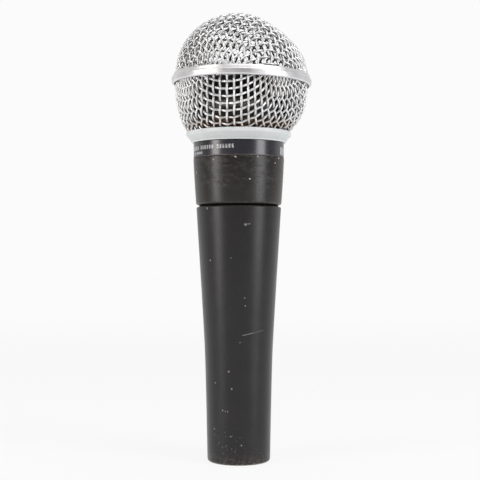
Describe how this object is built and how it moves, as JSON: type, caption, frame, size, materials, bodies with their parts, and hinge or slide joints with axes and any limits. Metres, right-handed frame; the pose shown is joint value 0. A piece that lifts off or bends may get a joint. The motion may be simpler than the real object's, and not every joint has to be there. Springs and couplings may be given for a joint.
{
  "type": "dynamic microphone",
  "caption": "Handheld vocal dynamic microphone: tapered metal handle with a recessed three-contact socket, threaded head with sprung cartridge and screw-on wire ball grille.",
  "frame": {"origin": "centre of the connector end's rim, the face the microphone stands on", "axes": "+Z along the microphone's axis towards the grille; -Y is the front; contact 3 points to -Y, the socket's key and the locking screw to +Y"},
  "size_m": [0.0508, 0.0508, 0.1622],
  "materials": {
    "enamel": "satin",
    "collar_paint": "matte",
    "nameplate": "gloss",
    "insulator": "satin",
    "pin_plate": "polished",
    "spring_bronze": "satin",
    "screw_steel": "satin",
    "lead_pvc": "satin",
    "core_steel": "satin",
    "bobbin_nylon": "satin",
    "copper": "gloss",
    "potting_wax": "satin",
    "mount_rubber": "matte",
    "black_plastic": "satin",
    "port_felt": "matte",
    "motor_steel": "satin",
    "magnet_iron": "matte",
    "clamp_brass": "satin",
    "board_phenolic": "satin",
    "film": "gloss",
    "foam_rot": "matte",
    "ring_paint": "satin",
    "band_nickel": "satin",
    "wire_nickel": "satin"
  },
  "bodies": {
    "handle": {"handle_shell": "enamel", "connector_insert": "insulator", "contact_pin_1": "pin_plate", "contact_pin_2": "pin_plate", "contact_pin_3": "pin_plate", "ground_spring": "spring_bronze", "output_leads": "lead_pvc", "transformer_core": "core_steel", "transformer_bobbin": "bobbin_nylon", "transformer_winding": "copper", "transformer_potting": "potting_wax"},
    "lock_screw": {"locking_screw": "screw_steel"},
    "leads": {"cartridge_leads": "lead_pvc"},
    "head": {"collar": "collar_paint", "nameplate_ring": "nameplate", "shock_mount": "mount_rubber", "mount_retainer": "black_plastic"},
    "cartridge": {"cartridge_housing": "black_plastic", "port_cloth": "port_felt", "yoke_cup": "motor_steel", "magnet": "magnet_iron", "pole_piece": "motor_steel", "front_plate": "motor_steel", "diaphragm_clamp": "clamp_brass", "resonator_plate": "black_plastic", "cap_screen": "port_felt", "resonator_cap": "black_plastic", "rear_can": "black_plastic", "terminal_board": "board_phenolic", "terminal_posts": "clamp_brass"},
    "membrane": {"diaphragm": "film", "voice_coil": "copper"},
    "foam": {"foam_residue": "foam_rot"},
    "grille": {"foam_flap": "foam_rot", "grille_ring": "ring_paint", "grille_bowl": "wire_nickel", "grille_band": "band_nickel", "grille_dome": "wire_nickel"}
  },
  "joints": [
    {"name": "lock_screw_turn", "type": "hinge", "parent": "handle", "child": "lock_screw", "pos_m": [0, 0.0114, 0.0218], "axis": [0, 1, 0], "range_deg": [0, 540]},
    {"name": "head_lift", "type": "slide", "parent": "handle", "child": "leads", "axis": [0, 0, 1], "range_m": [0, 0.00562], "deforming": ["cartridge_leads"]},
    {"name": "head_turn", "type": "hinge", "parent": "leads", "child": "head", "pos_m": [0, 0, 0.0917], "axis": [0, 0, 1], "range_deg": [0, 1620]},
    {"name": "cartridge_float", "type": "slide", "parent": "head", "child": "cartridge", "axis": [0, 0, 1], "range_m": [-0.0005, 0.0005], "stiffness_N_per_m": 3000},
    {"name": "diaphragm_stroke", "type": "slide", "parent": "cartridge", "child": "membrane", "axis": [0, 0, 1], "range_m": [-0.0002, 0.0002], "stiffness_N_per_m": 400},
    {"name": "grille_lift", "type": "slide", "parent": "head", "child": "foam", "axis": [0, 0, 1], "range_m": [0, 0.0035]},
    {"name": "grille_turn", "type": "hinge", "parent": "foam", "child": "grille", "pos_m": [0, 0, 0.1149], "axis": [0, 0, 1], "range_deg": [0, 1260]}
  ],
  "couplings": [
    {"joint": "head_lift", "follows": "head_turn", "m_per_rad": 0.00019894},
    {"joint": "grille_lift", "follows": "grille_turn", "m_per_rad": 0.00015915}
  ]
}
